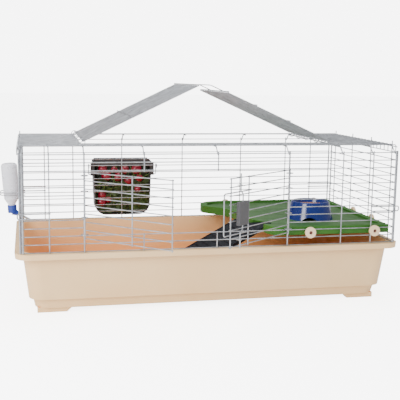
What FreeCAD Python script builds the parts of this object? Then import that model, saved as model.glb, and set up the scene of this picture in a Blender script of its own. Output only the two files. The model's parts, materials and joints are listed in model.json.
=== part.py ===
import FreeCAD, Part
import math
import os

V = FreeCAD.Vector
X_AXIS = V(1, 0, 0)
Y_AXIS = V(0, 1, 0)
Z_AXIS = V(0, 0, 1)

doc = FreeCAD.newDocument("rabbit_cage")
sheet = doc.addObject("Spreadsheet::Sheet", "Sizes")

# Every driving dimension of the cage, in millimetres and degrees.
DIMENSIONS = [
    ("half_len", 565.0, "wire cage half length"),
    ("half_dep", 274.4, "wire cage half depth"),
    ("rim_top", 187.0, "top of the tray rim"),
    ("row_pitch", 23.42, "spacing of the level wires"),
    ("bay_one", 219.6, "upright beside the middle one"),
    ("bay_two", 392.2, "upright that carries hinges"),
    ("bay_three", 490.9, "upright next to the corner"),
    ("row_rad", 1.5, "level wire radius"),
    ("col_rad", 1.8, "upright wire radius"),
    ("post_rad", 2.4, "corner and door post radius"),
    ("weld_gap", 0.05, "clearance left at each weld"),
    ("nub", 5.0, "upright end standing above the top wire"),
    ("side_out", 4.0, "side panel rows outside the front ones"),
    ("roof_z", 491.7, "centre height of the long roof wires"),
    ("roof_in", 27.7, "inset of the roof edge from the panels"),
    ("roof_pitch", 27.41, "spacing of the long roof wires"),
    ("hinge_rad", 2.0, "roof hinge wire radius"),
    ("lid_left_len", 397.0, "left lid length"),
    ("lid_right_len", 376.0, "right lid length"),
    ("lid_front", -168.0, "lid front edge"),
    ("lid_back", 223.0, "lid back edge"),
    ("lid_left_deg", 25.7, "left lid angle as shown"),
    ("lid_right_deg", 23.9, "right lid angle as shown"),
    ("leaf_len", 303.0, "door leaf length"),
    ("leaf_top", 420.5, "door leaf top wire"),
    ("leaf_bottom", 230.3, "door leaf bottom wire"),
    ("leaf_left_deg", 42.8, "left leaf angle as shown"),
    ("leaf_right_deg", 38.8, "right leaf angle as shown"),
    ("rim_half_len", 590.0, "tray rim half length"),
    ("rim_half_dep", 292.5, "tray rim half depth"),
    ("rim_drop", 16.0, "height of the rim skirt"),
    ("wall", 4.0, "moulded wall thickness"),
    ("plat_top", 243.0, "top of the platform lip"),
    ("plat_lip", 25.0, "height of the platform lip"),
    ("plat_sink", 7.0, "depth of the platform recess"),
    ("knob_rad", 17.0, "knob radius"),
    ("knob_len", 9.0, "knob thickness"),
    ("ramp_deg", 28.3, "ramp slope"),
    ("ramp_top", 229.0, "ramp height beside the platform"),
    ("ramp_len", 427.0, "ramp length"),
    ("ramp_wid", 185.0, "ramp width"),
    ("bowl_base", 76.0, "bowl foot radius"),
    ("bowl_mouth", 62.0, "bowl mouth radius"),
    ("bowl_high", 58.0, "bowl height"),
    ("rack_high", 201.0, "hay rack height"),
    ("rack_wide", 212.0, "hay rack width"),
    ("rack_deep", 62.0, "hay rack depth"),
    ("bottle_rad", 25.0, "bottle radius"),
    ("bottle_high", 141.0, "bottle height above the cap"),
]
for line, (alias, number, meaning) in enumerate(DIMENSIONS, start=1):
    sheet.set("A%d" % line, meaning)
    sheet.set("B%d" % line, str(number))
    sheet.setAlias("B%d" % line, alias)
doc.recompute()


def val(alias):
    return float(sheet.get(alias))


ROWS = 12
TOP = val("rim_top") + 2.0 + ROWS * val("row_pitch")
NODES = []


def row_z(index):
    """Height expression of a level wire, counted down from the top one."""
    return "Sizes.rim_top + 2 + %d * Sizes.row_pitch" % (ROWS - index)


def wire(name, radius, start, axis, length):
    """One straight round wire; every size is an expression on the sheet."""
    rod = doc.addObject("Part::Cylinder", name)
    rod.setExpression("Radius", "Sizes." + radius)
    rod.setExpression("Height", length)
    if axis == "x":
        rod.Placement.Rotation = FreeCAD.Rotation(Y_AXIS, 90)
    if axis == "y":
        rod.Placement.Rotation = FreeCAD.Rotation(X_AXIS, -90)
    for key, text in zip("xyz", start):
        rod.setExpression("Placement.Base." + key, text)
    return rod


def span(name, radius, axis, low, high, first, second):
    """Straight wire between two coordinates on its own axis."""
    start = {"x": [low, first, second], "y": [first, low, second],
             "z": [first, second, low]}[axis]
    return wire(name, radius, start, axis, "(%s) - (%s)" % (high, low))


def bent(name, points, radius, bend):
    """Round wire along straight runs joined by bends of one radius."""
    points = [V(*p) for p in points]
    edges = []
    start = points[0]
    for i in range(1, len(points) - 1):
        corner = points[i]
        came = (corner - points[i - 1]).normalize()
        goes = (points[i + 1] - corner).normalize()
        turn = math.acos(max(-1.0, min(1.0, came.dot(goes))))
        reach = bend * math.tan(turn / 2)
        into = corner - came * reach
        out = corner + goes * reach
        inward = (goes - came).normalize()
        middle = corner + inward * (bend / math.cos(turn / 2) - bend)
        edges.append(Part.LineSegment(start, into).toShape())
        edges.append(Part.Arc(into, middle, out).toShape())
        start = out
    edges.append(Part.LineSegment(start, points[-1]).toShape())
    first = (points[1] - points[0]).normalize()
    ring = Part.Wire([Part.makeCircle(radius, points[0], first)])
    rod = doc.addObject("Part::Feature", name)
    rod.Shape = Part.Wire(edges).makePipeShell([ring], True, True)
    return rod


def solid(name, shape):
    item = doc.addObject("Part::Feature", name)
    item.Shape = shape
    return item


def node(name, parts, base=(0, 0, 0), axis=None, degrees=0.0):
    """Group wires into one named part, placed where it stands."""
    group = doc.addObject("Part::Compound", "node_" + name)
    group.Links = parts
    group.Label = name
    turn = FreeCAD.Rotation(axis or Z_AXIS, degrees)
    group.Placement = FreeCAD.Placement(V(*base), turn)
    NODES.append(group)
    return group


def keep(item, name):
    item.Label = name
    NODES.append(item)
    return item


# ---- wire panels -----------------------------------------------------------

FRONT_ROWS = "-Sizes.half_dep"
FRONT_COLS = "-(Sizes.half_dep + Sizes.row_rad + Sizes.col_rad + Sizes.weld_gap)"
FRONT_POSTS = "-(Sizes.half_dep + Sizes.row_rad + Sizes.post_rad + Sizes.weld_gap)"
BACK_COLS = "Sizes.half_dep + Sizes.row_rad + Sizes.col_rad + Sizes.weld_gap"
BACK_POSTS = "Sizes.half_dep + Sizes.row_rad + Sizes.post_rad + Sizes.weld_gap"
FOOT = "Sizes.rim_top + 0.1"
HEAD = row_z(0) + " + Sizes.nub"


def upright(name, x, post=False, back=False, low=FOOT, high=HEAD):
    radius = "post_rad" if post else "col_rad"
    if back:
        y = BACK_POSTS if post else BACK_COLS
    else:
        y = FRONT_POSTS if post else FRONT_COLS
    return span(name, radius, "z", low, high, x, y)


def rows(prefix, indexes, low, high, y):
    return [span("%s_row_%d" % (prefix, i), "row_rad", "x", low, high, y, row_z(i))
            for i in indexes]


END = "Sizes.half_len + 1"
front_left = rows("fl", range(ROWS + 1), "-(%s)" % END, "-Sizes.bay_two - 0.05", FRONT_ROWS)
front_left += [
    upright("fl_corner", "-Sizes.half_len", post=True),
    upright("fl_col", "-Sizes.bay_three"),
    upright("fl_post", "-Sizes.bay_two", post=True),
]
node("front_panel_left", front_left)

front_right = rows("fr", range(ROWS + 1), "Sizes.bay_one + 0.05", END, FRONT_ROWS)
front_right += [
    upright("fr_post", "Sizes.bay_one", post=True),
    upright("fr_col_a", "Sizes.bay_two"),
    upright("fr_col_b", "Sizes.bay_three"),
    upright("fr_corner", "Sizes.half_len", post=True),
]
node("front_panel_right", front_right)

DOOR_LOW = "-Sizes.bay_two + 0.05"
DOOR_HIGH = "Sizes.bay_one - 0.05"
over_door = rows("fu", range(0, 3), DOOR_LOW, DOOR_HIGH, FRONT_ROWS)
over_door += [upright("fu_col_%d" % i, x, low=row_z(2) + " - 3")
              for i, x in enumerate(["-Sizes.bay_one", "0"])]
node("front_panel_upper", over_door)

under_door = rows("fd", range(10, ROWS + 1), DOOR_LOW, DOOR_HIGH, FRONT_ROWS)
under_door += [upright("fd_col_%d" % i, x, high=row_z(10) + " + 3")
               for i, x in enumerate(["-Sizes.bay_one", "0"])]
node("front_panel_lower", under_door)

back = rows("bk", range(ROWS + 1), "-(%s)" % END, END, "Sizes.half_dep")
for i, x in enumerate(["-Sizes.bay_three", "-Sizes.bay_two", "-Sizes.bay_one", "0",
                       "Sizes.bay_one", "Sizes.bay_two", "Sizes.bay_three"]):
    back.append(upright("bk_col_%d" % i, x, back=True))
back.append(upright("bk_corner_l", "-Sizes.half_len", post=True, back=True))
back.append(upright("bk_corner_r", "Sizes.half_len", post=True, back=True))
node("back_panel", back)

SIDE_ROWS = "(Sizes.half_len + Sizes.side_out)"
SIDE_COLS = "(Sizes.half_len + Sizes.side_out + Sizes.row_rad + Sizes.col_rad + Sizes.weld_gap)"
SIDE_POSTS = "(Sizes.half_len + Sizes.side_out + Sizes.row_rad + Sizes.post_rad + Sizes.weld_gap)"
SIDE_HALF = "Sizes.half_dep - 2"
for side, sign in (("left", "-"), ("right", "")):
    parts = [span("s%s_row_%d" % (side[0], i), "row_rad", "y", "-(%s)" % SIDE_HALF, SIDE_HALF,
                  sign + SIDE_ROWS, row_z(i)) for i in range(ROWS + 1)]
    parts.append(span("s%s_hem" % side[0], "row_rad", "y", "-(%s)" % SIDE_HALF, SIDE_HALF,
                      sign + SIDE_ROWS, row_z(0) + " + 17"))
    for i, y in enumerate((-231, -77, 77, 231)):
        parts.append(span("s%s_col_%d" % (side[0], i), "col_rad", "z", FOOT,
                          row_z(0) + " + 33", sign + SIDE_COLS, str(y)))
    for i, way in enumerate(("-", "")):
        parts.append(span("s%s_end_%d" % (side[0], i), "post_rad", "z", FOOT, HEAD,
                          sign + SIDE_POSTS, way + "(%s - 2)" % SIDE_HALF))
    node("side_panel_" + side, parts)

# ---- roof ------------------------------------------------------------------

ROOF_Z = val("roof_z")
ROOF_HALF = val("half_dep") - val("roof_in")
LIP_X = val("half_len") + 12.5
CROSS_Z = ROOF_Z - val("row_rad") - val("col_rad") - val("weld_gap")
HINGE_Z = ROOF_Z - val("row_rad") - val("hinge_rad") - val("weld_gap")
BEVEL_Y = val("half_dep") - 3.6
BEVEL_Z = TOP - 4.0


def roof_y(index):
    return -ROOF_HALF + index * val("roof_pitch")


for side, sign in (("left", -1), ("right", 1)):
    parts = []
    for i in range(19):
        path = [(sign * (val("bay_two") + 0.05), roof_y(i), ROOF_Z),
                (sign * LIP_X, roof_y(i), ROOF_Z),
                (sign * LIP_X, roof_y(i), TOP - 3)]
        parts.append(bent("roof_%s_long_%d" % (side, i), path, val("row_rad"), 5.0))
    for i, (x, radius, z) in enumerate(((val("bay_two"), val("hinge_rad"), HINGE_Z),
                                        (val("bay_three"), val("col_rad"), CROSS_Z),
                                        (val("half_len"), val("col_rad"), CROSS_Z))):
        path = [(sign * x, -BEVEL_Y, BEVEL_Z), (sign * x, -ROOF_HALF + 2, z),
                (sign * x, ROOF_HALF - 2, z), (sign * x, BEVEL_Y, BEVEL_Z)]
        parts.append(bent("roof_%s_cross_%d" % (side, i), path, radius, 4.0))
    node("roof_end_" + side, parts)

STRIP_LOW = "-Sizes.bay_two + 0.05"
STRIP_HIGH = "Sizes.bay_two - 0.05"
for side, sign, indexes, reach in (("front", -1, range(0, 4), -roof_y(3) - 2),
                                   ("back", 1, range(17, 19), roof_y(17) - 2)):
    parts = [span("strip_%s_%d" % (side, i), "row_rad", "x", STRIP_LOW, STRIP_HIGH,
                  "-(Sizes.half_dep - Sizes.roof_in) + %d * Sizes.roof_pitch" % i,
                  "Sizes.roof_z") for i in indexes]
    for i, x in enumerate((-val("bay_one"), 0.0, val("bay_one"))):
        path = [(x, sign * BEVEL_Y, BEVEL_Z), (x, sign * (ROOF_HALF - 2), CROSS_Z),
                (x, sign * reach, CROSS_Z)]
        parts.append(bent("strip_%s_cross_%d" % (side, i), path, val("col_rad"), 4.0))
    node("roof_strip_" + side, parts)

# ---- lids, drawn lying closed with the hinge wire at the origin -------------

LID_WIRES = 15
LID_PITCH = (val("lid_back") - val("lid_front")) / LID_WIRES
LONG_Z = "(Sizes.row_rad + Sizes.hinge_rad + 0.05 + 2 * Sizes.row_rad + 0.3)"
LID_CROSS_Z = "(%s + Sizes.row_rad + Sizes.col_rad + Sizes.weld_gap)" % LONG_Z
RING_YS = (-152.0, -46.0, 48.0, 128.0, 205.0)
RING_RAD = 10.4
for side, sign, crosses in (("left", 1, (173.0,)), ("right", -1, (155.0, 275.0))):
    length = "Sizes.lid_%s_len" % side
    ends = ("8", length) if sign > 0 else ("-" + length, "-8")
    parts = []
    for i in range(LID_WIRES + 1):
        y = "Sizes.lid_front + %d * (Sizes.lid_back - Sizes.lid_front) / %d" % (i, LID_WIRES)
        parts.append(span("lid_%s_long_%d" % (side, i), "row_rad", "x", ends[0], ends[1],
                          y, LONG_Z))
    stations = ["9.5"] + ["%.1f" % c for c in crosses] + [length + " - 2"]
    for i, station in enumerate(stations):
        x = station if sign > 0 else "-(%s)" % station
        parts.append(span("lid_%s_cross_%d" % (side, i), "col_rad", "y",
                          "Sizes.lid_front - 3", "Sizes.lid_back + 3", x, LID_CROSS_Z))
    base = (-sign * val("bay_two"), 0, HINGE_Z)
    turn = V(0, -sign, 0)
    node("lid_" + side, parts, base, turn, val("lid_%s_deg" % side))

    cross_z = 2 * val("row_rad") + val("row_rad") + val("hinge_rad") + 0.35
    cross_z += val("row_rad") + val("col_rad") + val("weld_gap")
    rings = []
    for i, y in enumerate(RING_YS):
        ring = doc.addObject("Part::Torus", "ring_%s_%d" % (side, i))
        ring.Radius1 = RING_RAD
        ring.Radius2 = 1.2
        ring.Placement = FreeCAD.Placement(V(sign * 4.75, y, cross_z / 2),
                                           FreeCAD.Rotation(X_AXIS, 90))
        rings.append(ring)
    node("lid_%s_rings" % side, rings, base, turn, val("lid_%s_deg" % side))

LOOP_Z = cross_z + val("col_rad") + 1.6 + val("weld_gap")
loop_tip = val("lid_right_len") + 35.0
loop_path = [(-val("lid_right_len") + 14, -65, LOOP_Z), (-loop_tip, -65, LOOP_Z),
             (-loop_tip, 108, LOOP_Z), (-val("lid_right_len") + 14, 108, LOOP_Z)]
node("lid_latch_loop", [bent("latch_loop", loop_path, 1.6, 6.0)],
     (val("bay_two"), 0, HINGE_Z), V(0, 1, 0), val("lid_right_deg"))

# ---- door leaves, drawn closed with the post at the origin ------------------

LEAF_ROWS = 8
POST_Y = -(val("half_dep") + val("row_rad") + val("post_rad") + val("weld_gap"))
LEAF_Y = "-4.3"
LEAF_COL_Y = "-(4.3 + Sizes.row_rad + Sizes.col_rad + Sizes.weld_gap)"
LEAF_RING_ZS = (411.0, 366.0, 290.0, 241.0)
for side, sign in (("left", 1), ("right", -1)):
    ends = ("6", "Sizes.leaf_len + 1") if sign > 0 else ("-Sizes.leaf_len - 1", "-6")
    parts = []
    for i in range(LEAF_ROWS + 1):
        z = "Sizes.leaf_top - %d * (Sizes.leaf_top - Sizes.leaf_bottom) / %d" % (i, LEAF_ROWS)
        parts.append(span("leaf_%s_row_%d" % (side, i), "row_rad", "x", ends[0], ends[1],
                          LEAF_Y, z))
    middle = {"left": "Sizes.bay_two - Sizes.bay_one", "right": "Sizes.bay_one"}[side]
    for i, station in enumerate(("8", middle, "Sizes.leaf_len")):
        x = station if sign > 0 else "-(%s)" % station
        parts.append(span("leaf_%s_col_%d" % (side, i), "col_rad", "z",
                          "Sizes.leaf_bottom - 3", "Sizes.leaf_top + 3", x, LEAF_COL_Y))
    hinge_x = {"left": -val("bay_two"), "right": val("bay_one")}[side]
    base = (hinge_x, POST_Y, 0)
    turn = V(0, 0, -sign)
    degrees = val("leaf_%s_deg" % side)
    node("door_%s" % side, parts, base, turn, degrees)

    rings = []
    for i, z in enumerate(LEAF_RING_ZS):
        ring = doc.addObject("Part::Torus", "door_ring_%s_%d" % (side, i))
        ring.Radius1 = 9.9
        ring.Radius2 = 1.1
        ring.Placement.Base = V(sign * 4.0, -3.8, z)
        rings.append(ring)
    node("door_%s_rings" % side, rings, base, turn, degrees)

RIGHT_BASE = (val("bay_one"), POST_Y, 0)
RIGHT_TURN = V(0, 0, 1)
bracket_y = -11.3
bracket_path = [(-val("bay_one") + 6, bracket_y, 383), (-338, bracket_y, 383),
                (-338, bracket_y, 267), (-val("bay_one") + 6, bracket_y, 267)]
node("door_overlap_loop", [bent("overlap_loop", bracket_path, 1.8, 5.0)],
     RIGHT_BASE, RIGHT_TURN, val("leaf_right_deg"))

# The crank bolt: a rod with its middle set sideways to carry the grip.
rod_y = -15.2
rod_path = [(-268, rod_y, 434), (-268, rod_y, 386), (-257, rod_y, 376),
            (-257, rod_y, 279), (-268, rod_y, 269), (-268, rod_y, 225)]
rod = bent("rod", rod_path, 1.9, 4.0)
node("bolt_rod", [rod], RIGHT_BASE, RIGHT_TURN, val("leaf_right_deg"))
guides = []
for i, z in enumerate((401.5, 249.5)):
    path = [(-263.6, -6.6, z), (-263.6, rod_y - 3.4, z), (-272.4, rod_y - 3.4, z),
            (-272.4, -6.6, z)]
    guides.append(bent("guide_%d" % i, path, 1.2, 2.4))
node("bolt_guides", guides, RIGHT_BASE, RIGHT_TURN, val("leaf_right_deg"))
grip_box = Part.makeBox(43, 13, 65, V(-279, rod_y - 6.5, 290))
grip_box = grip_box.makeFillet(2.0, [e for e in grip_box.Edges
                                     if abs(e.Length - 65) < 0.01])
bore = Part.makeCylinder(1.95, 80, V(-257, rod_y, 282))
node("bolt_grip", [solid("grip", grip_box.cut(bore))],
     RIGHT_BASE, RIGHT_TURN, val("leaf_right_deg"))

# ---- corner clips ------------------------------------------------------------

for corner, sx, sy in (("front_left", -1, -1), ("front_right", 1, -1),
                       ("back_left", -1, 1), ("back_right", 1, 1)):
    y = sy * (val("half_dep") + 8.4)
    path = [(sx * 487.0, y, 303.4), (sx * 579.0, y, 303.4),
            (sx * 579.0, y, 288.8), (sx * 487.0, y, 288.8)]
    node("clip_" + corner, [bent("clip_wire_" + corner, path, 1.9, 5.0)])

# ---- tray --------------------------------------------------------------------


def rounded(half_x, half_y, z, corner):
    """Closed outline of a rectangle with rounded corners at one height."""
    def arc(cx, cy, start):
        middle = math.radians(start + 45)
        first = math.radians(start)
        last = math.radians(start + 90)
        spots = [V(cx + corner * math.cos(a), cy + corner * math.sin(a), z)
                 for a in (first, middle, last)]
        return Part.Arc(*spots).toShape()
    in_x = half_x - corner
    in_y = half_y - corner
    arcs = [arc(in_x, in_y, 0), arc(-in_x, in_y, 90),
            arc(-in_x, -in_y, 180), arc(in_x, -in_y, 270)]
    edges = []
    for i, item in enumerate(arcs):
        following = arcs[(i + 1) % 4]
        edges.append(item)
        edges.append(Part.LineSegment(item.Vertexes[1].Point,
                                      following.Vertexes[0].Point).toShape())
    return Part.Wire(edges)


def tapered(low, high):
    """Solid between two outlines given as (half x, half y, z, corner)."""
    return Part.makeLoft([rounded(*low), rounded(*high)], True, True)


RIM = val("rim_top")
THICK = val("wall")
rim_low = RIM - val("rim_drop")
outside = tapered((551.5, 254.0, 44, 46), (568.5, 271.0, RIM - 1, 50))
foot_tier = tapered((534.0, 236.5, 14, 40), (541.0, 243.5, 44.5, 42))
rim = tapered((588.5, 291.0, rim_low, 44), (val("rim_half_len"), val("rim_half_dep"), RIM, 46))
rim_hollow = tapered((585.0, 287.5, rim_low - 1, 42), (586.0, 288.5, RIM - THICK, 43))
inside = tapered((547.5, 250.0, 48, 42), (566.0, 268.5, RIM + 5, 46))
floor_dip = tapered((530.5, 233.0, 18, 37), (535.0, 237.5, 49, 39))
skirt = rim.cut(rim_hollow)
tray = skirt.fuse([outside, foot_tier]).cut(inside).cut(floor_dip)
feet = []
leg_side = [V(442, 217, 0), V(528, 217, 0), V(528, 217, 16), V(424, 217, 16), V(442, 217, 0)]
leg_end = [V(514, 145, 0), V(514, 231, 0), V(514, 231, 16), V(514, 127, 16), V(514, 145, 0)]
for sx in (-1, 1):
    for sy in (-1, 1):
        foot = Part.Face(Part.makePolygon(leg_side)).extrude(V(0, 14, 0))
        foot = foot.fuse(Part.Face(Part.makePolygon(leg_end)).extrude(V(14, 0, 0)))
        if sx < 0:
            foot = foot.mirror(V(0, 0, 0), X_AXIS)
        if sy < 0:
            foot = foot.mirror(V(0, 0, 0), Y_AXIS)
        feet.append(foot)
# One middle foot under the floor keeps the long tray from sagging.
feet.append(Part.makeBox(80, 50, 16, V(-40, -25, 0)))
tray = tray.fuse(feet).removeSplitter()
keep(solid("node_tray", tray), "tray")

# ---- platform, its knobs and the ramp -----------------------------------------

PLAT_TOP = val("plat_top")
OUTLINE = [(556, -268), (556, 262), (540, 268), (160, 268), (110, 264), (76, 246),
           (56, 212), (52, 176), (66, 146), (104, 108), (126, 60), (138, -20),
           (150, -110), (164, -200), (182, -255), (205, -268)]
INSET = [(536, -248), (536, 242), (528, 248), (164, 248), (124, 246), (94, 230),
         (78, 205), (75, 182), (88, 158), (122, 120), (146, 66), (158, -18),
         (170, -107), (183, -196), (198, -238), (214, -248)]


def mixed(share):
    """Outline drawn in from the edge by a share of the lip width."""
    return [V(a[0] + (b[0] - a[0]) * share, a[1] + (b[1] - a[1]) * share, 0)
            for a, b in zip(OUTLINE, INSET)]


def smooth_plate(points, first, last, z, high):
    """Plate whose outline is straight except for one curved run of points."""
    curve = Part.BSplineCurve()
    curve.interpolate([V(p.x, p.y, z) for p in points[first:last + 1]])
    edges = [curve.toShape()]
    corners = points[last:] + points[:first + 1]
    for a, b in zip(corners, corners[1:]):
        edges.append(Part.LineSegment(V(a.x, a.y, z), V(b.x, b.y, z)).toShape())
    return Part.Face(Part.Wire(edges)).extrude(V(0, 0, high))


PLAT_LOW = PLAT_TOP - val("plat_lip")
SINK_Z = PLAT_TOP - val("plat_sink")
plate = smooth_plate(mixed(0.0), 3, 15, PLAT_LOW, val("plat_lip"))
recess = smooth_plate(mixed(1.0), 3, 15, SINK_Z, 20.0)
hollow = smooth_plate(mixed(0.18), 3, 15, PLAT_LOW - 5.0, SINK_Z - 3.5 - PLAT_LOW + 5.0)
plate = plate.cut(recess).cut(hollow)
STUD_Z = PLAT_TOP - 15.0
stations = [
    ("front_left", (290.6, -268.0), (0, -1)), ("front_right", (500.2, -268.0), (0, -1)),
    ("side_front", (556.0, -90.0), (1, 0)), ("side_back", (556.0, 62.0), (1, 0)),
    ("back_left", (168.0, 268.0), (0, 1)), ("back_right", (515.0, 268.0), (0, 1)),
]
studs = []
STUD_RAD = 3.0
for label, (x, y), (dx, dy) in stations:
    out = V(dx, dy, 0)
    reach = 19.0 if dx else 14.0
    start = V(x, y, STUD_Z) - out * 4.2
    hole = Part.makeCylinder(STUD_RAD, 12, start - out * 4, out)
    plate = plate.cut(hole)
    stud = Part.makeCylinder(STUD_RAD - 0.05, reach + 6.7, start, out)
    head = Part.makeCylinder(4.2, 2.5, start - out * 2.5, out)
    studs.append(solid("stud_" + label, stud.fuse(head).removeSplitter()))
    knob = Part.makeCylinder(val("knob_rad"), val("knob_len"),
                             V(x, y, STUD_Z) + out * reach, out)
    knob = knob.makeFillet(1.5, [e for e in knob.Edges if e.Curve.TypeId
                                 == "Part::GeomCircle"])
    slot = Part.makeCylinder(STUD_RAD, 5.0, V(x, y, STUD_Z) + out * (reach - 0.5), out)
    dimple = Part.makeCylinder(5.5, 5.0, V(x, y, STUD_Z)
                               + out * (reach + val("knob_len") - 3.5), out)
    knob = knob.cut(slot).cut(dimple)
    keep(solid("node_knob_" + label, knob), "knob_" + label)
# The ramp leans on the platform edge and runs down to the tray floor. It is drawn in
# its own plane: u along the platform edge, v down the slope, n out of the surface.
EDGE_TURN = math.radians(8.4)
SLOPE = math.radians(val("ramp_deg"))
U_DIR = V(-math.sin(EDGE_TURN), math.cos(EDGE_TURN), 0)
LEVEL = V(-math.cos(EDGE_TURN), -math.sin(EDGE_TURN), 0)
V_DIR = LEVEL * math.cos(SLOPE) - Z_AXIS * math.sin(SLOPE)
N_DIR = LEVEL * math.sin(SLOPE) + Z_AXIS * math.cos(SLOPE)
RAMP_SPOT = FreeCAD.Placement(V(157.0, -205.0, val("ramp_top")),
                              FreeCAD.Rotation(U_DIR, V_DIR, N_DIR, "XYZ"))
ramp_len = val("ramp_len")
ramp_wid = val("ramp_wid")
SKEW = 0.098
TAB = 36.0


def ramp_slab(points, low, high):
    """Flat piece of the ramp from an outline in its plane and two levels."""
    outline = Part.makePolygon([V(u, v, low) for u, v in points + points[:1]])
    return Part.Face(outline).extrude(V(0, 0, high - low))


def ramp_strip(first, last, start, stop):
    """Outline of a strip that follows the slanting long edges of the board."""
    return [(first + SKEW * start, start), (last + SKEW * start, start),
            (last + SKEW * stop, stop), (first + SKEW * stop, stop)]


board = ramp_slab(ramp_strip(0, ramp_wid, 0, ramp_len), -4.0, 0.0)
tab_outline = [(-SKEW * TAB, -TAB), (14, -TAB), (101, 0), (101, 6), (SKEW * 6, 6)]
board = board.fuse(ramp_slab(tab_outline, -4.0, 0.0))
cheeks = [ramp_slab(ramp_strip(u, u + 4.0, 4, ramp_len), -9.0, 1.5)
          for u in (0.0, ramp_wid - 4.0)]
ridges = [ramp_slab(ramp_strip(9, ramp_wid - 9, v, v + 6), -1.0, 2.0)
          for v in range(14, int(ramp_len) - 12, 21)]
ramp = board.fuse(cheeks + ridges).removeSplitter()
ramp.Placement = RAMP_SPOT
# The platform lip is cut away where the upper corner of the board lies on it.
notch = [(-SKEW * TAB - 1.5, -TAB - 1.5), (15, -TAB - 1.5), (104, 0), (104, 8), (-1, 8)]
gate = ramp_slab(notch, -4.1, 40.0)
gate.Placement = RAMP_SPOT
plate = plate.cut(gate)
keep(solid("node_platform", plate), "platform")
node("platform_studs", studs)
keep(solid("node_ramp", ramp), "ramp")

# ---- food bowl ------------------------------------------------------------------

BOWL_AT = V(362.0, -82.0, PLAT_TOP - val("plat_sink") + 0.05)
cone = Part.makeCone(val("bowl_base"), val("bowl_mouth"), val("bowl_high"), BOWL_AT)
shoulder = [e for e in cone.Edges if abs(e.Length - 2 * math.pi * val("bowl_mouth")) < 0.1]
cone = cone.makeFillet(4.5, shoulder)
cup = Part.makeCone(42.0, val("bowl_mouth") - 5.0, 44.0,
                    BOWL_AT + V(0, 0, val("bowl_high") - 43.9))
# A low wide arch in the skirt takes the fingertips; it faces the doors.
NOTCH_TURN = math.radians(-20.0)
notch_way = V(math.sin(NOTCH_TURN), -math.cos(NOTCH_TURN), 0)
notch = Part.makeCylinder(34.0, 60.0, BOWL_AT + notch_way * 50 - Z_AXIS * 22, notch_way)
skirt_hollow = Part.makeCone(val("bowl_base") - 4.0, 47.0, 13.5, BOWL_AT + V(0, 0, -0.01))
bowl = cone.cut(cup).cut(notch).cut(skirt_hollow)
keep(solid("node_food_bowl", bowl), "food_bowl")
food = Part.makeCone(41.5, 51.5, 33.0, BOWL_AT + V(0, 0, val("bowl_high") - 43.5))
keep(solid("node_bowl_food", food), "bowl_food")

# ---- hay rack outside the back panel ----------------------------------------------

RACK_X = -215.5
RACK_Y = val("half_dep") + 14.5
RACK_TOP = 397.0


def rack_outline(half_wide, low, high, corner, y):
    """Flat outline with two rounded lower corners, drawn on the back panel."""
    left = RACK_X - half_wide
    right = RACK_X + half_wide
    turn = corner * (1 - math.sqrt(0.5))
    spots = [V(left + 6, y, low + corner), V(left + 6 + turn, y, low + turn),
             V(left + 6 + corner, y, low)]
    arc_l = Part.Arc(*spots).toShape()
    spots = [V(right - 6 - corner, y, low), V(right - 6 - turn, y, low + turn),
             V(right - 6, y, low + corner)]
    arc_r = Part.Arc(*spots).toShape()
    corners = [V(right - 6, y, low + corner), V(right, y, high), V(left, y, high),
               V(left + 6, y, low + corner)]
    edges = [arc_l, Part.LineSegment(V(left + 6 + corner, y, low),
                                     V(right - 6 - corner, y, low)).toShape(), arc_r]
    for a, b in zip(corners, corners[1:]):
        edges.append(Part.LineSegment(a, b).toShape())
    return Part.Face(Part.Wire(edges))


RACK_DEEP = val("rack_deep")
half_rack = val("rack_wide") / 2
rack_low = RACK_TOP - val("rack_high")
shell = rack_outline(half_rack, rack_low, RACK_TOP, 42, RACK_Y).extrude(V(0, RACK_DEEP, 0))
space = rack_outline(half_rack - 3, rack_low + 3, RACK_TOP + 30, 39,
                     RACK_Y - 1).extrude(V(0, RACK_DEEP - 2, 0))
band = Part.makeBox(val("rack_wide") + 6, 3, 26,
                    V(RACK_X - half_rack - 3, RACK_Y, RACK_TOP - 26))
lugs = [Part.makeBox(12, 8, 44, V(x, RACK_Y, RACK_TOP - 58))
        for x in (RACK_X - half_rack - 8, RACK_X + half_rack - 4)]
rack = shell.fuse([band] + lugs).cut(space.common(
    Part.makeBox(400, RACK_DEEP + 2, 400, V(RACK_X - 200, RACK_Y + 3, rack_low - 50))))
mouth = rack_outline(half_rack - 5, rack_low + 5, RACK_TOP - 24, 37,
                     RACK_Y - 1).extrude(V(0, 6, 0))
# The two top corners slope off.
corners = []
for side in (-1, 1):
    tip = V(RACK_X + side * (half_rack + 4), RACK_Y - 1, RACK_TOP + 1)
    slope = [tip, tip - X_AXIS * 14 * side, tip - Z_AXIS * 14, tip]
    corners.append(Part.Face(Part.makePolygon(slope)).extrude(Y_AXIS * (RACK_DEEP + 2)))
rack = rack.cut([mouth] + corners).removeSplitter()
keep(solid("node_hay_rack", rack), "hay_rack")

hook_z = val("rim_top") + 2 + 8 * val("row_pitch") + val("row_rad") + 1.8
hook_y = val("half_dep") - val("row_rad") - 1.8
hooks = []
for i, side in enumerate((-1, 1)):
    x = RACK_X + side * (half_rack + 15)
    path = [(RACK_X + side * (half_rack + 8.2), RACK_Y + 4, 343), (x, RACK_Y + 4, 343),
            (x, RACK_Y + 4, hook_z), (x, hook_y, hook_z), (x, hook_y, hook_z - 12)]
    hooks.append(bent("rack_hook_%d" % i, path, 1.7, 3.5))
node("hay_rack_hooks", hooks)

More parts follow.
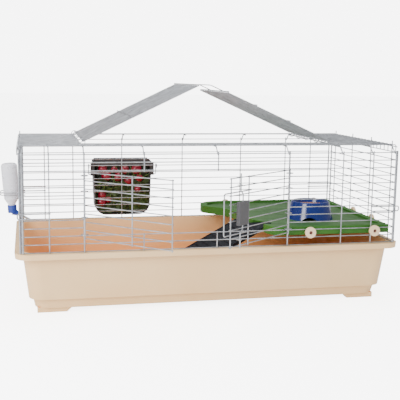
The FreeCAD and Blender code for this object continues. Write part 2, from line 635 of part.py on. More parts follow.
fill_y = RACK_Y + 4.0
greens = rack_outline(half_rack - 7, rack_low + 5, RACK_TOP - 60, 37,
                      fill_y).extrude(V(0, RACK_DEEP - 10, 0))
keep(solid("node_rack_greens", greens), "rack_greens")
radishes = [solid("radish_%d" % i, Part.makeSphere(r, V(x, fill_y + 22 + dy, z)))
            for i, (x, dy, z, r) in enumerate((
                (-282, 0, RACK_TOP - 37, 19), (-236, 4, RACK_TOP - 38, 18),
                (-196, 0, RACK_TOP - 38, 19), (-155, 3, RACK_TOP - 38, 19)))]
node("rack_radishes", radishes)

# ---- water bottle outside the left panel --------------------------------------------

BOTTLE_X = -(val("half_len") + 41.0)
BOTTLE_Y = 20.0
BOTTLE_TOP = 416.0
R_BOT = val("bottle_rad")
R_LOW = R_BOT - 2.5
neck_z = BOTTLE_TOP - val("bottle_high")
BOTTLE_LEAN = FreeCAD.Rotation(Y_AXIS, -3.0)
BOTTLE_SPOT = V(BOTTLE_X, BOTTLE_Y, BOTTLE_TOP)


def lean(shape):
    """Place a shape drawn below the bottle top on the leaning bottle axis."""
    shape.Placement = FreeCAD.Placement(BOTTLE_SPOT, BOTTLE_LEAN)
    return shape


high = -val("bottle_high")
profile = [V(0, 0, high), V(10.5, 0, high), V(10.5, 0, high + 8), V(R_LOW, 0, high + 28),
           V(R_LOW + 1.4, 0, -68.5), V(R_LOW + 2.2, 0, -67), V(R_LOW + 1.5, 0, -65.5),
           V(R_BOT, 0, -20), V(R_BOT, 0, 0), V(0, 0, 0)]
skin = Part.Face(Part.makePolygon(profile + [profile[0]]))
bottle = skin.revolve(V(0, 0, 0), Z_AXIS, 360)
crown = [e for e in bottle.Edges if e.BoundBox.ZMin > -0.1 and e.BoundBox.XLength > R_BOT]
bottle = lean(bottle.makeFillet(10.0, crown))
keep(solid("node_bottle", bottle), "bottle")
cap = Part.makeCylinder(14.0, 24.0, V(0, 0, high - 17))
cap = lean(cap.cut(Part.makeCylinder(10.55, 7.1, V(0, 0, high - 0.05))))
CAP_X = BOTTLE_X + 7.6
nozzle = Part.makeCone(12.0, 7.0, 16.0, V(CAP_X + 3, BOTTLE_Y, neck_z - 13),
                       V(1, 0, -0.55))
spout_dir = V(1, 0, -0.55).normalize()
spout_from = V(CAP_X + 3, BOTTLE_Y, neck_z - 13) + spout_dir * 10
tube_bore = Part.makeCylinder(4.0, 20, spout_from, spout_dir)
cap = cap.fuse(nozzle).cut(tube_bore).removeSplitter()
keep(solid("node_bottle_cap", cap), "bottle_cap")
tube = Part.makeCylinder(3.95, 48, spout_from + spout_dir * 0.05, spout_dir)
tube = tube.cut(Part.makeCylinder(3.2, 30, spout_from + spout_dir * 20, spout_dir))
keep(solid("node_bottle_tube", tube), "bottle_tube")
ball = Part.makeSphere(3.0, spout_from + spout_dir * 46.5)
keep(solid("node_bottle_ball", ball), "bottle_ball")
ring_r = R_BOT + 2.0
hx = BOTTLE_X + 2.0
holder = []
for i, z in enumerate((TOP - 145.0, TOP - 152.0)):
    near = BOTTLE_Y - ring_r - 4
    far = BOTTLE_Y + ring_r + 4
    path = [(-val("half_len") + 8, near, z), (hx - ring_r - 2, near, z),
            (hx - ring_r - 2, far, z), (-val("half_len") + 8, far, z)]
    holder.append(bent("holder_%d" % i, path, 1.6, 14.0))
node("bottle_holder", holder)

doc.recompute()
for item in doc.Objects:
    if "Invalid" in item.State or "Error" in item.State:
        raise RuntimeError("%s is in state %s" % (item.Name, item.State))
os.makedirs("parts", exist_ok=True)
for item in NODES:
    if item.Shape.isNull() or not item.Shape.isValid():
        raise RuntimeError("%s has no valid shape" % item.Label)
    item.Shape.exportStep("parts/%s.step" % item.Label)
    box = item.Shape.BoundBox
    print(item.Label, len(item.Shape.Solids),
          [round(v, 1) for v in (box.XMin, box.XMax, box.YMin, box.YMax, box.ZMin, box.ZMax)])
print("parts:", len(NODES))
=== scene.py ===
import json
import math
import random

import bmesh
import bpy
from mathutils import Matrix, Vector, noise


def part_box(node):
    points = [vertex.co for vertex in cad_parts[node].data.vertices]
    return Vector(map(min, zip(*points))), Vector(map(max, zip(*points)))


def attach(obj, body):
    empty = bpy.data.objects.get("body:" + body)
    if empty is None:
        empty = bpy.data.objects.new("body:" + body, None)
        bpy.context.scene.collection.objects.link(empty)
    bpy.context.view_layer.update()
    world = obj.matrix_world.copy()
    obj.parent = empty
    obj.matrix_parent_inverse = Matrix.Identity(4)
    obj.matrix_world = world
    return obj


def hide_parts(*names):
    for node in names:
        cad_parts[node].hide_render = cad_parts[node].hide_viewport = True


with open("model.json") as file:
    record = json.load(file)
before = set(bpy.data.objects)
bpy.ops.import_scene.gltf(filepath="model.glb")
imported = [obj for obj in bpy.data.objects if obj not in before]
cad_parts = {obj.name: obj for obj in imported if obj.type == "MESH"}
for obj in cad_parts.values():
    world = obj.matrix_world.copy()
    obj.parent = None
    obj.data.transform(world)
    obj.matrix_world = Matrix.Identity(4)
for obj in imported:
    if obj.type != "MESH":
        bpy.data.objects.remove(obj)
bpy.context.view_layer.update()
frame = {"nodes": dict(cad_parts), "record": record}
NODES = frame["nodes"]
SLOT_OF = {part["node"]: part["material_slot"] for part in frame["record"]["subparts"]}
MM = 0.001
TRAY_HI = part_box("tray")[1]
# Half sizes of the basin's mouth, inside the rim.
BASIN_X = TRAY_HI.x - 23.5 * MM
BASIN_Y = TRAY_HI.y - 23.7 * MM
BASIN_FLOOR = 60 * MM
# Below this level the shelf's top is its sunk middle.
SHELF_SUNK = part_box("platform")[1].z - 5.5 * MM


# ---- materials ------------------------------------------------------------------

def srgb(red, green, blue):
    """Linear colour of an sRGB colour given in 0 to 255."""
    def line(v):
        v = v / 255
        return v / 12.92 if v <= 0.04045 else ((v + 0.055) / 1.055) ** 2.4
    return (line(red), line(green), line(blue), 1.0)


class Finish:
    """A procedural material: nodes are added to one Principled shader."""

    def __init__(self, name, **sockets):
        self.mat = bpy.data.materials.new(name)
        self.mat.use_nodes = True
        self.tree = self.mat.node_tree
        self.shader = self.tree.nodes["Principled BSDF"]
        for key, value in sockets.items():
            self.shader.inputs[key.replace("_", " ")].default_value = value
        self.coord = self.add("ShaderNodeTexCoord").outputs["Object"]

    def add(self, kind, **settings):
        node = self.tree.nodes.new(kind)
        for key, value in settings.items():
            setattr(node, key, value)
        return node

    def link(self, a, b):
        self.tree.links.new(a, b)

    def stretched(self, x, y, z):
        mapping = self.add("ShaderNodeMapping")
        mapping.inputs["Scale"].default_value = (x, y, z)
        self.link(self.coord, mapping.inputs["Vector"])
        return mapping.outputs["Vector"]

    def noise(self, scale, detail=3.0, rough=0.55, vector=None):
        tex = self.add("ShaderNodeTexNoise")
        tex.inputs["Scale"].default_value = scale
        tex.inputs["Detail"].default_value = detail
        tex.inputs["Roughness"].default_value = rough
        self.link(vector or self.coord, tex.inputs["Vector"])
        return tex.outputs["Fac"]

    def ramp(self, fac, stops):
        """Colour ramp with (place, colour) stops."""
        node = self.add("ShaderNodeValToRGB")
        points = node.color_ramp.elements
        while len(points) < len(stops):
            points.new(0.5)
        for point, (place, colour) in zip(points, stops):
            point.position = place
            point.color = colour
        self.link(fac, node.inputs["Fac"])
        return node.outputs["Color"]

    def range(self, value, low, high, to_low, to_high):
        node = self.add("ShaderNodeMapRange")
        for key, number in (("From Min", low), ("From Max", high),
                            ("To Min", to_low), ("To Max", to_high)):
            node.inputs[key].default_value = number
        self.link(value, node.inputs["Value"])
        return node.outputs["Result"]

    def mix(self, fac, first, second, blend="MIX"):
        node = self.add("ShaderNodeMix", data_type="RGBA", blend_type=blend)
        if isinstance(fac, float):
            node.inputs[0].default_value = fac
        else:
            self.link(fac, node.inputs[0])
        for socket, value in ((node.inputs[6], first), (node.inputs[7], second)):
            if isinstance(value, tuple):
                socket.default_value = value
            else:
                self.link(value, socket)
        return node.outputs[2]

    def math(self, operation, first, second):
        node = self.add("ShaderNodeMath", operation=operation)
        for socket, value in ((node.inputs[0], first), (node.inputs[1], second)):
            if isinstance(value, (int, float)):
                socket.default_value = value
            else:
                self.link(value, socket)
        return node.outputs[0]

    def place(self):
        """Separate x, y and z outputs of the place on the object, in metres."""
        node = self.add("ShaderNodeSeparateXYZ")
        self.link(self.coord, node.inputs[0])
        return node.outputs

    def facing(self):
        """Separate x, y and z outputs of the surface normal."""
        node = self.add("ShaderNodeSeparateXYZ")
        self.link(self.add("ShaderNodeNewGeometry").outputs["Normal"], node.inputs[0])
        return node.outputs

    def colour(self, output):
        self.link(output, self.shader.inputs["Base Color"])

    def rough(self, output):
        self.link(output, self.shader.inputs["Roughness"])

    def bump(self, height, distance, strength=1.0, under=None):
        node = self.add("ShaderNodeBump")
        node.inputs["Strength"].default_value = strength
        node.inputs["Distance"].default_value = distance
        self.link(height, node.inputs["Height"])
        if under is not None:
            self.link(under, node.inputs["Normal"])
        self.link(node.outputs["Normal"], self.shader.inputs["Normal"])
        return node.outputs["Normal"]


def wire_finish():
    """Zinc plated wire: soft grey metal with a fine grain and dull patches."""
    f = Finish("zinc_wire", Metallic=0.85)
    patches = f.noise(38, 4)
    f.colour(f.ramp(patches, [(0.32, srgb(150, 153, 158)), (0.55, srgb(176, 179, 184)),
                              (0.78, srgb(194, 197, 202))]))
    f.rough(f.range(f.noise(90, 3), 0.3, 0.7, 0.26, 0.46))
    f.bump(f.noise(900, 2), 0.00012, 0.35)
    return f.mat


def moulded(name, colours, grain=700, depth=0.00008, rough=(0.34, 0.5), extra=None, **sockets):
    """Moulded plastic: slow colour drift, fine grain, uneven gloss."""
    f = Finish(name, **sockets)
    drift = f.noise(4.5, 4)
    tone = f.ramp(drift, [(0.3, colours[0]), (0.7, colours[1])])
    if extra is not None:
        tone = extra(f, tone)
    f.colour(tone)
    f.rough(f.range(f.noise(26, 4), 0.3, 0.7, *rough))
    under = f.bump(f.noise(grain, 2), depth, 0.5)
    f.bump(f.noise(9, 2), 0.0012, 0.25, under)
    return f.mat


def tray_painted_bounce(f, tone):
    """Painted bounce light: the basin inside is painted warmer than the outside, and most so
    near its floor, where the deeper orange is painted shade.
    """
    place = f.place()
    inner_x = f.math("LESS_THAN", f.math("ABSOLUTE", place[0], 0), BASIN_X)
    inner_y = f.math("LESS_THAN", f.math("ABSOLUTE", place[1], 0), BASIN_Y)
    face = f.facing()
    toward = f.math("ADD", f.math("MULTIPLY", face[0], place[0]),
                    f.math("MULTIPLY", face[1], place[1]))
    inward = f.math("LESS_THAN", toward, -0.02)
    up = f.math("MULTIPLY", f.math("GREATER_THAN", face[2], 0.5),
                f.math("LESS_THAN", place[2], BASIN_FLOOR))
    inside = f.math("MULTIPLY", f.math("MULTIPLY", inner_x, inner_y),
                    f.math("MAXIMUM", inward, up))
    # Painted bounce light and shade: deep orange low in the basin, paler cream towards the rim.
    painted_bounce = f.ramp(place[2], [(0.03, srgb(232, 148, 74)), (0.185, srgb(238, 194, 138))])
    return f.mix(inside, tone, painted_bounce)


def platform_tone(f, tone):
    """The sunk top is scuffed pale; the lip keeps its deep green."""
    place = f.place()
    low = f.math("LESS_THAN", place[2], SHELF_SUNK)
    up = f.math("GREATER_THAN", f.facing()[2], 0.5)
    scuff = f.noise(9, 6, 0.65, f.stretched(1.0, 7.0, 1.0))
    worn = f.ramp(scuff, [(0.3, srgb(38, 74, 30)), (0.72, srgb(72, 106, 60))])
    return f.mix(f.math("MULTIPLY", low, up), tone, worn)


def ramp_tone(f, tone):
    """Rubbed patches are paler than the board."""
    scuff = f.noise(60, 5, 0.7)
    return f.mix(f.range(scuff, 0.52, 0.75, 0.0, 0.4), tone, srgb(72, 76, 84))


MATS = {
    "wire": wire_finish(),
    # The tray's inside gets painted bounce light and shade from its extra step.
    "tray_plastic": moulded("tray_cream", (srgb(232, 192, 138), srgb(238, 201, 150)),
                            extra=tray_painted_bounce, rough=(0.36, 0.5)),
    "knob_plastic": moulded("knob_cream", (srgb(228, 198, 156), srgb(236, 210, 172)),
                            rough=(0.3, 0.45)),
    "platform_plastic": moulded("shelf_green", (srgb(44, 90, 28), srgb(58, 106, 38)),
                                extra=platform_tone, rough=(0.4, 0.58), Specular_IOR_Level=0.2),
    "ramp_plastic": moulded("ramp_slate", (srgb(14, 15, 20), srgb(22, 25, 32)),
                            extra=ramp_tone, rough=(0.45, 0.65), Specular_IOR_Level=0.15),
    "bowl_plastic": moulded("bowl_blue", (srgb(4, 25, 88), srgb(8, 37, 110)),
                            rough=(0.12, 0.22), grain=300, depth=0.00004),
    "rack_plastic": moulded("rack_grey", (srgb(46, 44, 46), srgb(62, 58, 58)),
                            rough=(0.4, 0.55)),
    "grip_plastic": moulded("grip_grey", (srgb(56, 55, 58), srgb(70, 69, 72)),
                            rough=(0.35, 0.5)),
    "cap_plastic": moulded("cap_blue", (srgb(18, 42, 120), srgb(28, 56, 140)),
                           rough=(0.25, 0.4)),
}


def bottle_finish():
    """Milky clear plastic."""
    f = Finish("bottle_clear", Transmission_Weight=0.3, IOR=1.45)
    f.colour(f.ramp(f.noise(20, 3), [(0.3, srgb(236, 236, 246)), (0.7, srgb(248, 248, 253))]))
    f.rough(f.range(f.noise(40, 3), 0.3, 0.7, 0.22, 0.38))
    f.bump(f.noise(60, 3), 0.0004, 0.3)
    return f.mat


def bright_finish():
    """Polished steel of the drinking tube and its ball."""
    f = Finish("bright_steel", Metallic=1.0)
    f.colour(f.ramp(f.noise(80, 3), [(0.3, srgb(196, 198, 202)), (0.7, srgb(220, 221, 224))]))
    f.rough(f.range(f.noise(200, 3), 0.3, 0.7, 0.08, 0.18))
    return f.mat


def leaf_finish(name, dark, light):
    """Veined leaf between two greens."""
    f = Finish(name)
    veins = f.noise(160, 5, 0.7)
    tone = f.ramp(f.math("ADD", f.math("MULTIPLY", f.noise(30, 3), 0.6),
                         f.math("MULTIPLY", veins, 0.4)), [(0.35, dark), (0.65, light)])
    # The leaves are darker towards the top of the rack.
    f.colour(f.mix(f.range(f.place()[2], 0.27, 0.34, 0.0, 0.65), tone, srgb(16, 24, 8)))
    f.rough(f.range(veins, 0.3, 0.7, 0.5, 0.7))
    f.bump(veins, 0.0006, 0.6)
    return f.mat


def radish_finish():
    """Crimson skin with paler blotches."""
    f = Finish("radish_skin", Coat_Weight=0.3)
    blotch = f.noise(70, 4)
    f.colour(f.ramp(blotch, [(0.3, srgb(96, 4, 26)), (0.6, srgb(142, 10, 40)),
                             (0.85, srgb(178, 42, 74))]))
    f.rough(f.range(f.noise(140, 3), 0.3, 0.7, 0.22, 0.4))
    f.bump(f.noise(240, 3), 0.0004, 0.4)
    return f.mat


def pellet_finish():
    """Pressed feed, coarse and dull."""
    f = Finish("pellet_brown")
    grain = f.noise(420, 5, 0.7)
    f.colour(f.ramp(f.math("ADD", f.math("MULTIPLY", grain, 0.5),
                           f.math("MULTIPLY", f.noise(110, 2), 0.5)),
                    [(0.35, srgb(112, 70, 44)), (0.65, srgb(176, 124, 88))]))
    f.rough(f.range(grain, 0.3, 0.7, 0.7, 0.9))
    f.bump(grain, 0.0008, 0.8)
    return f.mat


def plain_finish(name, dark, light, rough=(0.5, 0.7)):
    """Small trim: fine mottling between two colours."""
    f = Finish(name)
    f.colour(f.ramp(f.noise(120, 4), [(0.3, dark), (0.7, light)]))
    f.rough(f.range(f.noise(240, 3), 0.3, 0.7, *rough))
    f.bump(f.noise(480, 3), 0.0003, 0.5)
    return f.mat


MATS["bottle_plastic"] = bottle_finish()
MATS["bright_steel"] = bright_finish()
MATS["fodder"] = leaf_finish("leaf_green", srgb(20, 32, 6), srgb(68, 90, 24))
MATS["radish"] = radish_finish()
MATS["food"] = pellet_finish()
LEAF_CORE = leaf_finish("leaf_shadow", srgb(14, 20, 6), srgb(34, 46, 14))
ROOT_WHITE = plain_finish("root_white", srgb(206, 150, 150), srgb(238, 222, 214))
STEM_GREEN = plain_finish("stem_green", srgb(70, 92, 34), srgb(120, 138, 62))
SCREW_BROWN = plain_finish("screw_brown", srgb(72, 34, 26), srgb(104, 54, 42), (0.4, 0.55))

for name, node in NODES.items():
    node.data.materials.clear()
    node.data.materials.append(MATS[SLOT_OF[name]])


# ---- pieces made here --------------------------------------------------------------

def piece(name, build, mat, body="cage"):
    """New mesh piece: build fills a bmesh, in the frame's metres."""
    mesh = bpy.data.meshes.new(name)
    bm = bmesh.new()
    build(bm)
    bmesh.ops.recalc_face_normals(bm, faces=bm.faces)
    bm.to_mesh(mesh)
    bm.free()
    mesh.materials.append(mat)
    for polygon in mesh.polygons:
        polygon.use_smooth = True
    obj = bpy.data.objects.new(name, mesh)
    bpy.context.scene.collection.objects.link(obj)
    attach(obj, body)
    return obj


def lathe(bm, profile, matrix, steps=24):
    """Turned form: profile is (radius, height) pairs, bottom to top."""
    rings = []
    for radius, height in profile:
        if radius < 1e-7:
            rings.append([bm.verts.new(matrix @ Vector((0, 0, height)))])
            continue
        ring = []
        for i in range(steps):
            a = 2 * math.pi * i / steps
            spot = Vector((radius * math.cos(a), radius * math.sin(a), height))
            ring.append(bm.verts.new(matrix @ spot))
        rings.append(ring)
    for low, high in zip(rings, rings[1:]):
        for i in range(steps):
            j = (i + 1) % steps
            if len(low) == 1:
                bm.faces.new((low[0], high[j], high[i]))
            elif len(high) == 1:
                bm.faces.new((low[i], low[j], high[0]))
            else:
                bm.faces.new((low[i], low[j], high[j], high[i]))


def turned(direction, spot):
    """Matrix that stands a lathe form at a spot along a direction."""
    turn = Vector(direction).to_track_quat("Z", "Y")
    return Matrix.Translation(spot) @ turn.to_matrix().to_4x4()


def blade(bm, matrix, length, width, curl, fold, cells=5):
    """Leaf: a pointed blade with a folded midrib and a curl along its length."""
    rows = []
    for i in range(cells + 1):
        t = i / cells
        half = width / 2 * math.sin(math.pi * min(1.0, 0.12 + 0.88 * t)) ** 0.7
        y = length * t
        z = curl * length * t * t
        row = []
        for side in (-1, 0, 1):
            wave = 0.12 * width * math.sin(9 * t + side)
            spot = Vector((side * half, y, z + abs(side) * fold * half + abs(side) * wave))
            row.append(bm.verts.new(matrix @ spot))
        rows.append(row)
    for a, b in zip(rows, rows[1:]):
        for k in (0, 1):
            bm.faces.new((a[k], a[k + 1], b[k + 1], b[k]))


# ---- what the rack holds ------------------------------------------------------------

rack_lo, rack_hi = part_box("rack_greens")
rad_lo, rad_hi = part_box("rack_radishes")
IN_LO = rack_lo + Vector((0, 1, 1)) * MM
IN_HI = rack_hi - Vector((0, 1, 0)) * MM
TURN_LOW = 36 * MM


# Radishes as (share across, share up, radius in mm, turn).
RADISHES = [
    (0.15, 0.89, 17, 2.6), (0.22, 0.75, 19, 3.6), (0.55, 0.87, 17, 3.4),
    (0.77, 0.88, 20, 2.9), (0.43, 0.72, 17, 2.4), (0.62, 0.66, 18, 3.2),
    (0.82, 0.70, 15, 3.0), (0.79, 0.47, 14, 3.5), (0.14, 0.36, 16, 2.8),
    (0.13, 0.21, 19, 3.3), (0.25, 0.27, 13, 2.5), (0.36, 0.88, 12, 2.2),
]


def inside_rack(x, z):
    """True where the rack's rounded front is open at that place."""
    left = IN_LO.x + TURN_LOW
    right = IN_HI.x - TURN_LOW
    floor = IN_LO.z + TURN_LOW
    if z >= floor:
        return IN_LO.x < x < IN_HI.x
    dx = max(0.0, left - x, x - right)
    return z > IN_LO.z and dx * dx + (floor - z) ** 2 < TURN_LOW * TURN_LOW


def build_core(bm):
    """Lumpy dark mass behind the leaves, so that no daylight shows through."""
    bmesh.ops.create_grid(bm, x_segments=40, y_segments=40, size=0.5)
    wide = IN_HI.x - IN_LO.x
    high = rad_hi.z - 4 * MM - IN_LO.z
    drop = []
    for v in bm.verts:
        x = IN_LO.x + (v.co.x + 0.5) * wide
        z = IN_LO.z + (v.co.y + 0.5) * high
        swell = noise.noise(Vector((x * 60, z * 60, 3.1)))
        v.co = Vector((x, IN_LO.y + (22 + 6 * swell) * MM, z))
        if not inside_rack(x, z):
            drop.append(v)
    bmesh.ops.delete(bm, geom=drop, context="VERTS")
    grown = bmesh.ops.extrude_face_region(bm, geom=bm.faces[:])
    for v in grown["geom"]:
        if isinstance(v, bmesh.types.BMVert):
            v.co.y = IN_HI.y - 3 * MM


def over_radish(x, z):
    """True in front of a radish, which shows bare there."""
    for across, up, radius, _ in RADISHES:
        spot = radish_spot(across, up, radius)
        if math.hypot(x - spot.x, z - spot.z) < 0.8 * radius * MM:
            return True
    return False


LEAF_TRIES = 1100
STEM_TRIES = 60


def build_leaves(bm):
    """Leaves in front of the core, thickest to the right and low down."""
    rng = random.Random(11)
    for _ in range(LEAF_TRIES):
        x = rng.uniform(IN_LO.x, IN_HI.x)
        z = IN_LO.z + (rack_hi.z - IN_LO.z) * rng.random() ** 1.15
        share = (x - IN_LO.x) / (IN_HI.x - IN_LO.x)
        if not inside_rack(x, z) or rng.random() > 0.25 + share or over_radish(x, z):
            continue
        length = rng.uniform(0.012, 0.024)
        y = IN_LO.y + rng.uniform(0.006, 0.02)
        turn = Matrix.Rotation(rng.uniform(-math.pi, math.pi), 4, "Y")
        tilt = Matrix.Rotation(rng.uniform(-0.45, 0.45), 4, "X")
        lay = Matrix.Rotation(math.pi / 2, 4, "X")
        matrix = Matrix.Translation((x, y, z)) @ turn @ tilt @ lay
        blade(bm, matrix, length, length * rng.uniform(0.35, 0.6),
              rng.uniform(-0.25, 0.25), rng.uniform(-0.3, 0.5))
    keep_in(bm)


def build_stems(bm):
    """Thin stalks that lie across the leaves."""
    rng = random.Random(23)
    for _ in range(STEM_TRIES):
        x = rng.uniform(IN_LO.x + 0.02, IN_HI.x - 0.01)
        z = rng.uniform(IN_LO.z + 0.02, rack_hi.z)
        if not inside_rack(x, z):
            continue
        direction = Vector((rng.uniform(-1, 1), rng.uniform(-0.15, 0.15), rng.uniform(-0.6, 1)))
        length = rng.uniform(0.02, 0.045)
        spot = Vector((x, IN_LO.y + rng.uniform(0.008, 0.016), z))
        stalk = [(0, 0), (0.0012, 0.0004), (0.0010, length * 0.6), (0.0006, length), (0, length)]
        lathe(bm, stalk, turned(direction, spot), 6)
    keep_in(bm)


def keep_in(bm):
    """Press whatever strays back between the rack's walls."""
    for v in bm.verts:
        v.co.x = min(max(v.co.x, IN_LO.x), IN_HI.x)
        v.co.y = min(max(v.co.y, rack_lo.y + 1.2 * MM), IN_HI.y)
        v.co.z = min(max(v.co.z, IN_LO.z), rad_hi.z)
        if v.co.z < IN_LO.z + TURN_LOW:
            middle = Vector((min(max(v.co.x, IN_LO.x + TURN_LOW), IN_HI.x - TURN_LOW),
                             v.co.y, IN_LO.z + TURN_LOW))
            away = v.co - middle
            if away.length > TURN_LOW:
                v.co = middle + away * (TURN_LOW / away.length)


def radish_spot(across, up, radius):
    """Middle of a radish that lies against the rack's open front."""
    return Vector((IN_LO.x + across * (IN_HI.x - IN_LO.x),
                   rack_lo.y + (3 + radius) * MM,
                   IN_LO.z + up * (rad_hi.z - IN_LO.z)))


def radish_lean(turn):
    """Direction in which a radish's leaves point."""
    return Vector((math.sin(turn * 3) * 0.5, -0.35, math.cos(turn * 2) * 0.6 + 0.5))


def build_radishes(bm):
    """Round roots, each a turned form made a little uneven."""
    for k, (across, up, radius, turn) in enumerate(RADISHES):
        r = radius * MM
        profile = [(0, -1.06 * r), (0.10 * r, -1.02 * r), (0.3 * r, -0.93 * r)]
        for i in range(1, 13):
            a = -math.pi / 2 + 0.42 + (math.pi - 0.62) * i / 12
            profile.append((r * math.cos(a), r * math.sin(a)))
        profile.append((0, 0.92 * r))
        start = len(bm.verts)
        middle = radish_spot(across, up, radius)
        lathe(bm, profile, turned(radish_lean(turn), middle), 22)
        bm.verts.ensure_lookup_table()
        for v in bm.verts[start:]:
            bulge = noise.noise(v.co * 55 + Vector((k, 0, 0)))
            v.co = middle + (v.co - middle) * (1 + 0.07 * bulge)
    keep_in(bm)


def build_roots(bm):
    """Thin tail under each radish."""
    for across, up, radius, turn in RADISHES:
        r = radius * MM
        lean = radish_lean(turn).normalized()
        spot = radish_spot(across, up, radius) - lean * r * 0.97
        tail = [(0, -0.02 * r), (0.14 * r, 0), (0.06 * r, 0.35 * r), (0.02 * r, 0.8 * r),
                (0, 0.9 * r)]
        lathe(bm, tail, turned(-lean, spot), 8)
    keep_in(bm)


def build_tops(bm):
    """Cut leaf stalks on each radish."""
    rng = random.Random(5)
    for across, up, radius, turn in RADISHES:
        r = radius * MM
        lean = radish_lean(turn).normalized()
        spot = radish_spot(across, up, radius) + lean * r * 0.85
        stalk = [(0, 0), (0.10 * r, 0.02 * r), (0.07 * r, 0.5 * r), (0, 0.75 * r)]
        for _ in range(5):
            way = lean + Vector((rng.uniform(-0.6, 0.6), rng.uniform(-0.2, 0.2),
                                 rng.uniform(-0.6, 0.6)))
            lathe(bm, stalk, turned(way, spot), 6)
    keep_in(bm)


piece("leaf_core", build_core, LEAF_CORE)
leaves = piece("leaf_filling", build_leaves, MATS["fodder"])
piece("leaf_stems", build_stems, STEM_GREEN)
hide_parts("rack_greens")
radishes = piece("radishes", build_radishes, MATS["radish"])
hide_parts("rack_radishes")
piece("radish_roots", build_roots, ROOT_WHITE)
piece("radish_tops", build_tops, STEM_GREEN)


# ---- food in the bowl ------------------------------------------------------------------

food_lo, food_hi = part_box("bowl_food")
FOOD_MID = (food_lo + food_hi) / 2
FOOD_R = (food_hi.x - food_lo.x) / 2 - 1.5 * MM
PELLETS = 260


def build_bed(bm):
    """Level of crumbs under the loose pellets."""
    top = food_hi.z
    profile = [(0, food_lo.z), (37 * MM, food_lo.z), (FOOD_R - 1.2 * MM, top - 6 * MM),
               (FOOD_R * 0.6, top - 5 * MM), (0, top - 4.5 * MM)]
    matrix = Matrix.Translation((FOOD_MID.x, FOOD_MID.y, 0))
    lathe(bm, profile, matrix, 48)
    for v in bm.verts:
        if v.co.z > top - 8 * MM:
            v.co.z += 1.5 * MM * noise.noise(v.co * 300)


def build_pellets(bm):
    """Short rods heaped towards the middle of the bowl."""
    rng = random.Random(7)
    for _ in range(PELLETS):
        a = rng.uniform(0, 2 * math.pi)
        d = (FOOD_R - 7 * MM) * math.sqrt(rng.random())
        heap = 4 * MM * (1 - d / FOOD_R)
        spot = Vector((FOOD_MID.x + d * math.cos(a), FOOD_MID.y + d * math.sin(a),
                       food_hi.z - 0.0055 + heap + rng.uniform(-0.001, 0.0018)))
        way = Vector((rng.uniform(-1, 1), rng.uniform(-1, 1), rng.uniform(-0.25, 0.25)))
        r = rng.uniform(0.0019, 0.0024)
        n = rng.uniform(0.006, 0.009)
        spot -= way.normalized() * n / 2
        rod = [(0, 0), (r * 0.8, 0), (r, 0.0004), (r, n - 0.0004), (r * 0.8, n), (0, n)]
        lathe(bm, rod, turned(way, spot), 9)


piece("food_bed", build_bed, MATS["food"], "bowl_body")
pellets = piece("food_pellets", build_pellets, MATS["food"], "bowl_body")
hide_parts("bowl_food")


# ---- screw recesses of the knobs -----------------------------------------------------------

SCREW_DEPTH = 3.4 * MM
SCREW_FORM = [(0.0053, 0), (0.0053, 0.0008), (0.0048, 0.0013), (0.0030, 0.0013),
              (0.0026, 0.0002), (0, 0.0002)]


def build_screw(node, direction):
    """Builder of the dished plug in one knob's recess."""
    lo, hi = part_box(node)
    out = Vector(direction)
    depth = (hi - lo).dot(Vector(map(abs, out)))
    face = (lo + hi) / 2 + out * (depth / 2)
    matrix = turned(direction, face - out * SCREW_DEPTH)

    def build(bm):
        lathe(bm, SCREW_FORM, matrix, 24)
    return build


for place, direction in (("front_left", (0, -1, 0)), ("front_right", (0, -1, 0)),
                         ("side_front", (1, 0, 0)), ("side_back", (1, 0, 0)),
                         ("back_left", (0, 1, 0)), ("back_right", (0, 1, 0))):
    piece("screw_" + place, build_screw("knob_" + place, direction), SCREW_BROWN)


# ---- studio --------------------------------------------------------------------------------

FLOOR_GLOW = 5.4
FLOOR_SIZE = 60


def floor_finish():
    """Pale matte floor."""
    f = Finish("floor_pale", Roughness=0.9, Emission_Color=(1.0, 1.0, 1.0, 1.0))
    f.colour(f.ramp(f.noise(0.4, 2), [(0.3, srgb(250, 250, 250)), (0.7, srgb(252, 252, 252))]))
    # The floor looks as white as the backdrop without lighting the object from below.
    seen = f.add("ShaderNodeLightPath").outputs["Is Camera Ray"]
    f.link(f.range(seen, 0.0, 1.0, 0.0, FLOOR_GLOW), f.shader.inputs["Emission Strength"])
    return f.mat


bpy.ops.mesh.primitive_plane_add(size=FLOOR_SIZE, location=(0, 0, 0))
floor = bpy.context.object
floor.name = "studio_floor"
floor.data.materials.append(floor_finish())

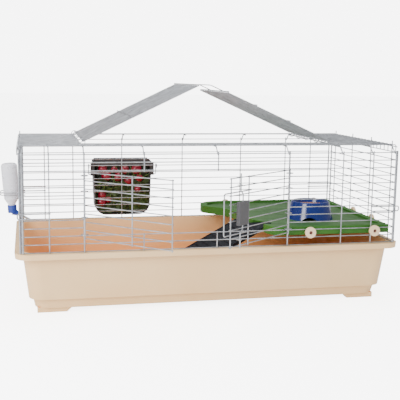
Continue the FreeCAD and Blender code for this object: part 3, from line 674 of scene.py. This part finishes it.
# The backdrop looks white, and gloss takes a dimmer room than plain light does.
AMBIENT = 1.15
WHITE_BACKDROP = 7.0
GLOSS_ROOM = 0.6

world = bpy.data.worlds.new("studio")
bpy.context.scene.world = world
world.use_nodes = True
world_tree = world.node_tree
world_tree.nodes["Background"].inputs["Color"].default_value = (1.0, 1.0, 1.0, 1.0)
rays = world_tree.nodes.new("ShaderNodeLightPath")
strength = AMBIENT
for ray, level in (("Is Glossy Ray", GLOSS_ROOM), ("Is Camera Ray", WHITE_BACKDROP)):
    step = world_tree.nodes.new("ShaderNodeMapRange")
    world_tree.links.new(rays.outputs[ray], step.inputs["Value"])
    step.inputs["To Max"].default_value = level
    if isinstance(strength, float):
        step.inputs["To Min"].default_value = strength
    else:
        world_tree.links.new(strength, step.inputs["To Min"])
    strength = step.outputs["Result"]
world_tree.links.new(strength, world_tree.nodes["Background"].inputs["Strength"])


def soft_light(name, spot, aim, size, power):
    """Square soft box at a spot, turned to its aim."""
    data = bpy.data.lights.new(name, "AREA")
    data.energy = power
    data.size = size
    light = bpy.data.objects.new(name, data)
    bpy.context.scene.collection.objects.link(light)
    light.location = spot
    light.rotation_euler = (Vector(aim) - Vector(spot)).to_track_quat("-Z", "Y").to_euler()


soft_light("key", (-1.9, -1.8, 1.3), (-0.3, 0, 0.2), 1.2, 80)
soft_light("top", (0.1, 0.1, 3.2), (0, 0, 0.2), 2.4, 75)

CAMERA_SPOT = (-0.5466, -2.4988, 0.6881)
CAMERA_HEADING = math.radians(-12.5)
CAMERA_DIP = math.radians(8.85)
CAMERA_ROLL = math.radians(0.83)

cam = bpy.data.cameras.new("camera")
cam.lens = 70.37
cam.sensor_width = 36.0
camera = bpy.data.objects.new("camera", cam)
bpy.context.scene.collection.objects.link(camera)
camera.matrix_world = (Matrix.Translation(CAMERA_SPOT)
                       @ Matrix.Rotation(CAMERA_HEADING, 4, "Z")
                       @ Matrix.Rotation(math.pi / 2 - CAMERA_DIP, 4, "X")
                       @ Matrix.Rotation(CAMERA_ROLL, 4, "Z"))
bpy.context.scene.camera = camera
